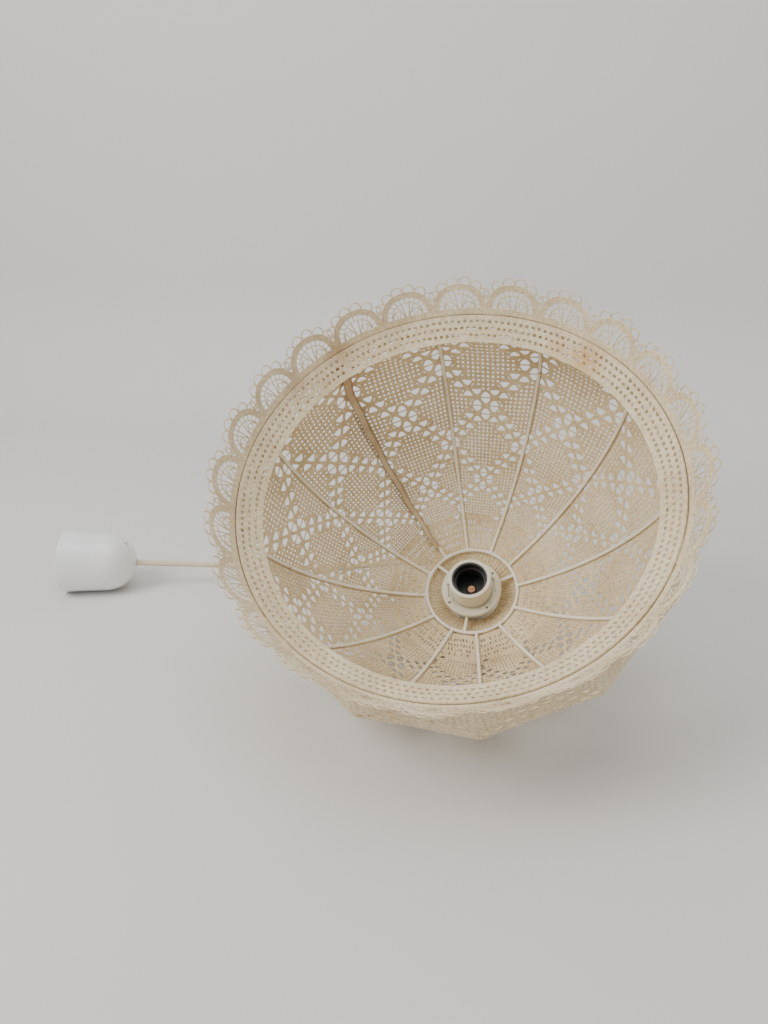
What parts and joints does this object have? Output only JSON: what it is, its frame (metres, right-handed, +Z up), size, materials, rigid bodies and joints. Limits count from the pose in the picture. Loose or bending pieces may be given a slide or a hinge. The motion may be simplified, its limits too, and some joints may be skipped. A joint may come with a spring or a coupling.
{
  "type": "lace pendant lampshade",
  "caption": "Ribbed dome lampshade covered in openwork lace, with a pendant lampholder, cord and ceiling cup, lying with its mouth turned up.",
  "frame": {"origin": "centre of the underside of the shade and lampholder's box, on the table", "axes": "+Z up; the shade's mouth is turned up and towards -Y; the ceiling cup lies towards -X"},
  "size_m": [0.6345, 0.4486, 0.3367],
  "materials": {
    "coated_wire": "plastic-coated steel wire, satin",
    "lace": "cream cotton lace, aged",
    "hem": "perforated cotton band",
    "trim": "scalloped cotton lace edging",
    "seam": "rolled lace seam, stained",
    "ivory_plastic": "moulded ivory plastic",
    "black_plastic": "moulded black insulator",
    "contact_brass": "tarnished spring brass",
    "screw_steel": "plated steel",
    "grub_plastic": "moulded grey plastic screw",
    "cord_sheath": "beige flexible cord sheath",
    "block_plastic": "translucent white connector plastic",
    "white_plastic": "glossy white moulded plastic"
  },
  "bodies": {
    "lampholder": {"holder_skirt": "ivory_plastic", "holder_cap": "ivory_plastic", "cord_grip": "ivory_plastic", "lamp_liner": "black_plastic", "contact_base": "black_plastic", "side_contact": "contact_brass", "terminal_screws": "screw_steel", "cord": "cord_sheath", "terminal_block": "block_plastic", "block_screws": "screw_steel"},
    "shade": {"rib_01": "coated_wire", "rib_02": "coated_wire", "rib_03": "coated_wire", "rib_04": "coated_wire", "rib_05": "coated_wire", "rib_06": "coated_wire", "rib_07": "coated_wire", "rib_08": "coated_wire", "rib_09": "coated_wire", "rib_10": "coated_wire", "rib_11": "coated_wire", "rib_12": "coated_wire", "lace_panel_01": "lace", "lace_panel_02": "lace", "lace_panel_03": "lace", "lace_panel_04": "lace", "lace_panel_05": "lace", "lace_panel_06": "lace", "lace_panel_07": "lace", "lace_panel_08": "lace", "lace_panel_09": "lace", "lace_panel_10": "lace", "lace_panel_11": "lace", "lace_panel_12": "lace", "spoke_1": "coated_wire", "spoke_2": "coated_wire", "spoke_3": "coated_wire", "top_ring": "coated_wire", "bottom_ring": "coated_wire", "fitter_ring": "coated_wire", "hem_band": "hem", "lace_trim": "trim", "neck_gather": "lace", "seam_strip": "seam"},
    "shade_ring": {"shade_ring": "ivory_plastic"},
    "centre_contact": {"centre_contact": "contact_brass"},
    "ceiling_cup": {"ceiling_cup": "white_plastic"},
    "cup_grub_screw": {"cup_grub_screw": "grub_plastic"}
  },
  "joints": [
    {"name": "shade_turn", "type": "hinge", "parent": "lampholder", "child": "shade", "pos_m": [0, 0.11225, 0.041], "axis": [0, -0.6303, 0.7764], "continuous": true},
    {"name": "shade_ring_unscrew", "type": "slide", "parent": "lampholder", "child": "shade_ring", "axis": [0, -0.6303, 0.7764], "range_m": [0, 0.022]},
    {"name": "centre_contact_press", "type": "slide", "parent": "lampholder", "child": "centre_contact", "axis": [0, 0.6303, -0.7764], "range_m": [0, 0.0015], "stiffness_N_per_m": 2000},
    {"name": "ceiling_cup_slide", "type": "slide", "parent": "lampholder", "child": "ceiling_cup", "axis": [0.9361, 0.3463, -0.061], "range_m": [0, 0.03]},
    {"name": "cup_grub_screw_turn_out", "type": "slide", "parent": "ceiling_cup", "child": "cup_grub_screw", "axis": [0.0573, 0.0212, 0.9981], "range_m": [0, 0.003]}
  ]
}
